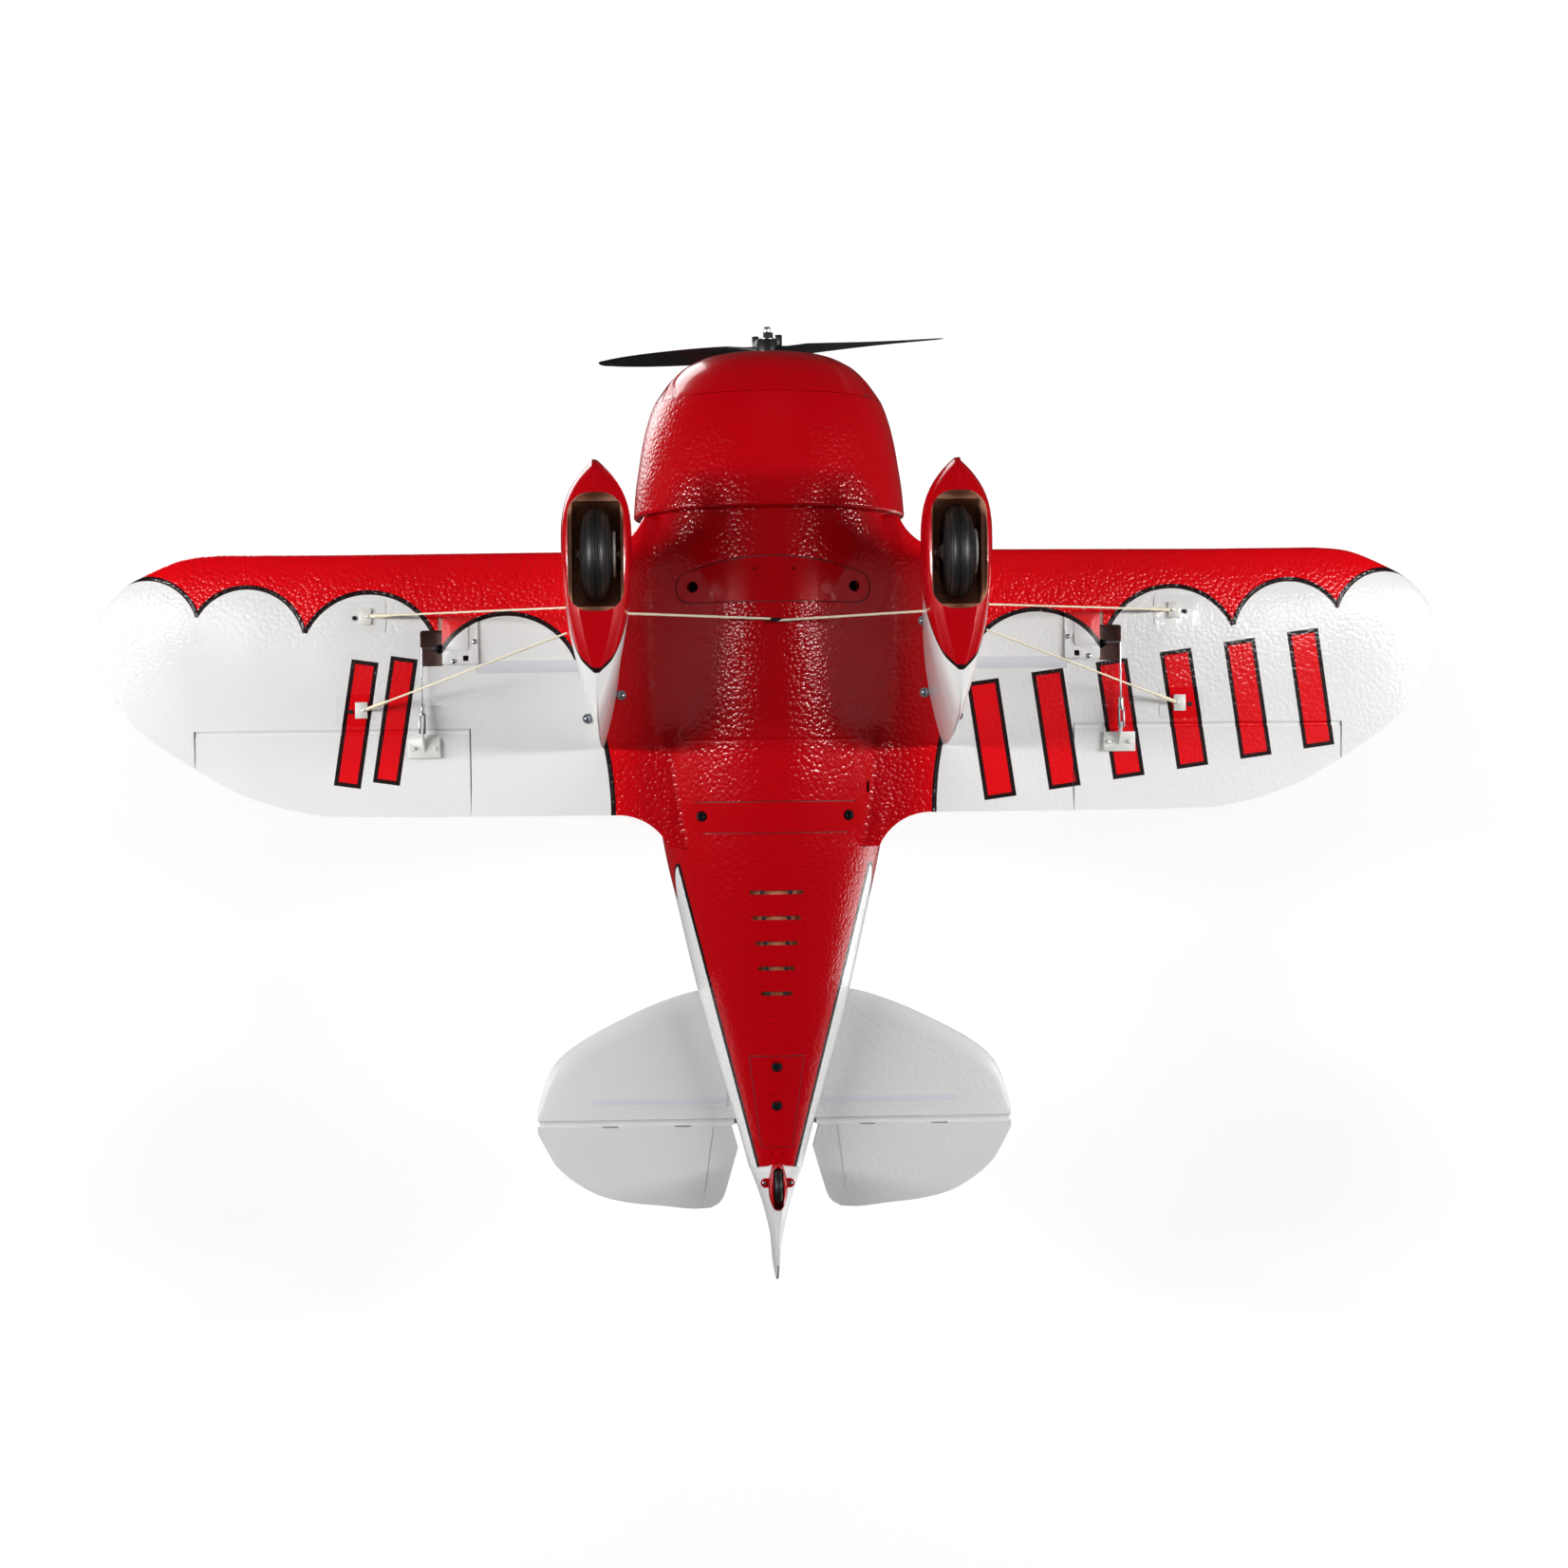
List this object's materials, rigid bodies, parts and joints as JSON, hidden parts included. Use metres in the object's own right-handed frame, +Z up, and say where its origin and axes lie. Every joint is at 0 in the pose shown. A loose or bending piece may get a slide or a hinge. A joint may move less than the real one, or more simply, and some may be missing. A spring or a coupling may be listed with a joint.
{
  "type": "rc foam airplane",
  "caption": "Foam radio-control racing airplane with a short round fuselage, low wing, spatted wheels, two-blade propeller, ailerons, elevator, rudder and steerable tail wheel.",
  "frame": {"origin": "free end of the propeller shaft, on the thrust line, with the thrust line level", "axes": "+Y from the nose towards the tail along the thrust line, +X towards the model's own left wing tip, +Z up"},
  "size_m": [1.007, 0.722, 0.3335],
  "materials": {
    "red_foam": "gloss",
    "white_foam": "satin",
    "red_plastic": "gloss",
    "black_plastic": "satin",
    "white_nylon": "satin",
    "plywood": "matte",
    "engine_plastic": "satin",
    "aluminium_black": "satin",
    "copper_winding": "satin",
    "machined_aluminium": "polished",
    "steel_wire": "satin",
    "steel_screw": "polished",
    "magnet": "polished",
    "clear_canopy": "gloss",
    "battery_wrap": "gloss",
    "carbon": "satin",
    "servo_blue": "gloss",
    "cover_plastic": "satin",
    "elastic_cord": "matte",
    "anchor_plastic": "satin",
    "tyre_rubber": "matte",
    "hub_plastic": "satin"
  },
  "bodies": {
    "airframe": {"fuselage_left_half": "red_foam", "fuselage_right_half": "red_foam", "firewall": "plywood", "cowl_body": "red_foam", "cowl_front_ring": "red_plastic", "radial_engine_dummy": "engine_plastic", "motor_mount": "aluminium_black", "motor_stator": "copper_winding", "hatch_magnets": "magnet", "canopy": "clear_canopy", "cockpit_tub": "black_plastic", "battery": "battery_wrap", "plywood_trays": "plywood", "speed_controller": "black_plastic", "receiver": "black_plastic", "wing_left": "white_foam", "wing_right": "white_foam", "carbon_spars": "carbon", "belly_pan": "red_foam", "wing_bolt_plates": "red_plastic", "wing_bolts": "white_nylon", "hinge_pins": "white_nylon", "aileron_servos": "servo_blue", "servo_covers": "cover_plastic", "fixing_screws": "steel_screw", "flying_wires": "elastic_cord", "wire_anchors": "anchor_plastic", "wheel_pant_left": "red_plastic", "wheel_pant_right": "red_plastic", "gear_leg_left": "steel_wire", "gear_leg_right": "steel_wire", "fin": "red_foam", "stabilizer": "white_foam", "tail_servos": "servo_blue"},
    "propeller_drive": {"motor_bell": "machined_aluminium", "prop_adapter": "machined_aluminium", "propeller": "black_plastic"},
    "aileron_left": {"aileron_left": "white_foam", "aileron_horn_left": "black_plastic"},
    "aileron_right": {"aileron_right": "white_foam", "aileron_horn_right": "black_plastic"},
    "aileron_arm_left": {"aileron_servo_arm_left": "black_plastic"},
    "aileron_arm_right": {"aileron_servo_arm_right": "black_plastic"},
    "aileron_rod_left": {"aileron_pushrod_left": "steel_wire"},
    "aileron_rod_right": {"aileron_pushrod_right": "steel_wire"},
    "elevator": {"elevator_left": "white_foam", "elevator_right": "white_foam", "elevator_joiner": "steel_wire"},
    "elevator_arm": {"elevator_servo_arm": "black_plastic"},
    "elevator_rod": {"elevator_pushrod": "steel_wire"},
    "rudder": {"rudder": "white_foam", "tail_wheel_fairing": "red_plastic"},
    "rudder_arm": {"rudder_servo_arm": "black_plastic"},
    "rudder_rod": {"rudder_pushrod": "steel_wire"},
    "tail_wheel": {"tail_wheel": "tyre_rubber"},
    "wheel_left": {"wheel_hub_left": "hub_plastic", "tyre_left": "tyre_rubber"},
    "wheel_right": {"wheel_hub_right": "hub_plastic", "tyre_right": "tyre_rubber"},
    "hatch": {"battery_hatch": "red_foam"}
  },
  "joints": [
    {"name": "propeller_spin", "type": "hinge", "parent": "airframe", "child": "propeller_drive", "pos_m": [0, 0, 0], "axis": [0, 1, 0], "continuous": true},
    {"name": "aileron_left_hinge", "type": "hinge", "parent": "airframe", "child": "aileron_left", "pos_m": [0.32421, 0.3051, -0.02916], "axis": [0.9981, 0, 0.061], "range_deg": [-25, 25]},
    {"name": "aileron_right_hinge", "type": "hinge", "parent": "airframe", "child": "aileron_right", "pos_m": [-0.32421, 0.3051, -0.02916], "axis": [0.9981, 0, -0.061], "range_deg": [-25, 25]},
    {"name": "aileron_arm_left_turn", "type": "hinge", "parent": "airframe", "child": "aileron_arm_left", "pos_m": [0.24436, 0.244, -0.03405], "axis": [0.9981, 0, 0.061], "range_deg": [-25, 25]},
    {"name": "aileron_arm_right_turn", "type": "hinge", "parent": "airframe", "child": "aileron_arm_right", "pos_m": [-0.24436, 0.244, -0.03405], "axis": [0.9981, 0, -0.061], "range_deg": [-25, 25]},
    {"name": "aileron_rod_left_turn", "type": "hinge", "parent": "aileron_arm_left", "child": "aileron_rod_left", "pos_m": [0.24733, 0.244, -0.0499], "axis": [0.9981, 0, 0.061], "range_deg": [-25, 25]},
    {"name": "aileron_rod_right_turn", "type": "hinge", "parent": "aileron_arm_right", "child": "aileron_rod_right", "pos_m": [-0.24733, 0.244, -0.0499], "axis": [0.9981, 0, -0.061], "range_deg": [-25, 25]},
    {"name": "elevator_hinge", "type": "hinge", "parent": "airframe", "child": "elevator", "pos_m": [0, 0.6022, 0.012], "axis": [1, 0, 0], "range_deg": [-22, 22]},
    {"name": "elevator_arm_turn", "type": "hinge", "parent": "airframe", "child": "elevator_arm", "pos_m": [-0.013, 0.47, 0.012], "axis": [1, 0, 0], "range_deg": [-22, 22]},
    {"name": "elevator_rod_turn", "type": "hinge", "parent": "elevator_arm", "child": "elevator_rod", "pos_m": [-0.009, 0.47, 0.024], "axis": [1, 0, 0], "range_deg": [-22, 22]},
    {"name": "rudder_hinge", "type": "hinge", "parent": "airframe", "child": "rudder", "pos_m": [0, 0.638, 0.011], "axis": [0, 0, 1], "range_deg": [-25, 25]},
    {"name": "rudder_arm_turn", "type": "hinge", "parent": "airframe", "child": "rudder_arm", "pos_m": [0, 0.47, 0.022], "axis": [0, 0, 1], "range_deg": [-25, 25]},
    {"name": "rudder_rod_turn", "type": "hinge", "parent": "rudder_arm", "child": "rudder_rod", "pos_m": [0.012, 0.47, 0.025], "axis": [0, 0, 1], "range_deg": [-25, 25]},
    {"name": "wheel_left_spin", "type": "hinge", "parent": "airframe", "child": "wheel_left", "pos_m": [0.126, 0.186, -0.16], "axis": [1, 0, 0], "continuous": true},
    {"name": "wheel_right_spin", "type": "hinge", "parent": "airframe", "child": "wheel_right", "pos_m": [-0.126, 0.186, -0.16], "axis": [1, 0, 0], "continuous": true},
    {"name": "tail_wheel_spin", "type": "hinge", "parent": "rudder", "child": "tail_wheel", "pos_m": [0, 0.6438, -0.0475], "axis": [1, 0, 0], "continuous": true},
    {"name": "hatch_lift", "type": "slide", "parent": "airframe", "child": "hatch", "axis": [0, 0, 1], "range_m": [0, 0.06]}
  ],
  "couplings": [
    {"joint": "aileron_right_hinge", "follows": "aileron_left_hinge", "ratio": -1},
    {"joint": "aileron_arm_left_turn", "follows": "aileron_left_hinge", "ratio": 1},
    {"joint": "aileron_rod_left_turn", "follows": "aileron_left_hinge", "ratio": -1},
    {"joint": "aileron_arm_right_turn", "follows": "aileron_left_hinge", "ratio": -1},
    {"joint": "aileron_rod_right_turn", "follows": "aileron_left_hinge", "ratio": 1},
    {"joint": "elevator_arm_turn", "follows": "elevator_hinge", "ratio": 1},
    {"joint": "elevator_rod_turn", "follows": "elevator_hinge", "ratio": -1},
    {"joint": "rudder_arm_turn", "follows": "rudder_hinge", "ratio": 1},
    {"joint": "rudder_rod_turn", "follows": "rudder_hinge", "ratio": -1}
  ]
}
